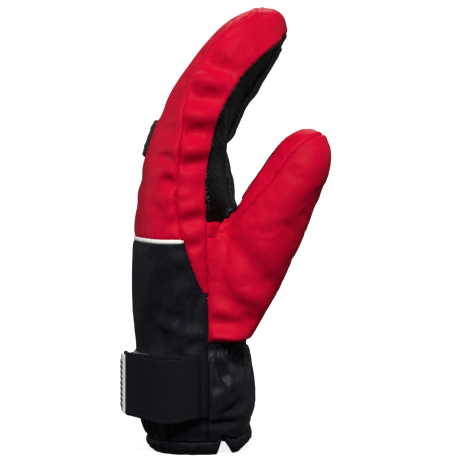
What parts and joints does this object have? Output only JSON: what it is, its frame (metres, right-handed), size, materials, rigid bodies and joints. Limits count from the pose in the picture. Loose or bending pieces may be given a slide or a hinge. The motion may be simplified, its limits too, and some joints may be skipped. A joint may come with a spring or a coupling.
{
  "type": "ski mitten",
  "caption": "Padded left-hand ski mitten: cloth shell, leather palm, gathered wrist, hook-and-loop wrist strap and elastic hem; fingers, thumb and strap move.",
  "frame": {"origin": "centre of the cuff's opening, in the plane of the hem", "axes": "+Z from the cuff to the fingertips, +X towards the palm, +Y towards the little finger, -Y the thumb side"},
  "size_m": [0.1337, 0.1208, 0.2765],
  "materials": {
    "red_cloth": "coated polyester twill, satin",
    "black_cloth": "coated polyester weave, satin",
    "palm_leather": "pebbled synthetic leather, satin",
    "piping": "smooth woven tape",
    "webbing": "folded coated cloth with stitched edges",
    "hook_and_loop": "brushed loops and short hooks",
    "label_rubber": "moulded, satin",
    "mark_black": "moulded, satin",
    "badge_rubber": "moulded, satin",
    "elastic": "ribbed",
    "wadding": "fibre wadding",
    "membrane": "thin film",
    "lining": "brushed fleece"
  },
  "bodies": {
    "root": {"back_panel": "red_cloth", "gusset_thumb_side": "red_cloth", "gusset_little_finger_side": "red_cloth", "palm_panel": "palm_leather", "palm_overlay": "palm_leather", "thumb_base_panel": "red_cloth", "thumb_base_strip": "red_cloth", "web_gusset": "red_cloth", "cuff_back_panel": "black_cloth", "cuff_palm_panel": "black_cloth", "piping": "piping", "hem_back": "black_cloth", "hem_palm": "black_cloth", "hem_elastic": "elastic", "wrist_elastic": "elastic", "loop_patch": "hook_and_loop", "strap_anchor": "webbing", "insulation_back": "wadding", "insulation_palm": "wadding", "waterproof_insert": "membrane", "lining": "lining", "cuff_interlining": "wadding", "cuff_lining": "lining"},
    "fingers": {"back_panel_fingers": "red_cloth", "gusset_fingertip": "red_cloth", "palm_panel_fingers": "palm_leather", "palm_overlay_fingers": "palm_leather", "back_badge": "badge_rubber", "insulation_back_fingers": "wadding", "insulation_palm_fingers": "wadding", "waterproof_insert_fingers": "membrane", "lining_fingers": "lining"},
    "thumb": {"thumb_panel": "red_cloth", "thumb_strip": "red_cloth", "thumb_palm_patch": "palm_leather", "insulation_thumb": "wadding", "waterproof_insert_thumb": "membrane", "lining_thumb": "lining"},
    "strap_side": {"strap_base": "webbing"},
    "strap_back": {"strap_end": "webbing", "hook_patch": "hook_and_loop", "strap_label": "label_rubber", "label_marks": "mark_black"}
  },
  "joints": [
    {"name": "fingers_flex", "type": "hinge", "parent": "root", "child": "fingers", "pos_m": [-0.005, 0, 0.171], "axis": [0, 1, 0], "range_deg": [-10, 22], "stiffness_Nm_per_rad": 3},
    {"name": "thumb_flex", "type": "hinge", "parent": "root", "child": "thumb", "pos_m": [0.0561, -0.04, 0.1605], "axis": [0, -1, 0], "range_deg": [-15, 20], "stiffness_Nm_per_rad": 1},
    {"name": "strap_open", "type": "hinge", "parent": "root", "child": "strap_side", "pos_m": [0.003, -0.0594, 0.044], "axis": [0, 0, 1], "range_deg": [0, 100]},
    {"name": "strap_unfold", "type": "hinge", "parent": "strap_side", "child": "strap_back", "pos_m": [-0.041, -0.045, 0.044], "axis": [0, 0, 1], "range_deg": [0, 70]}
  ]
}
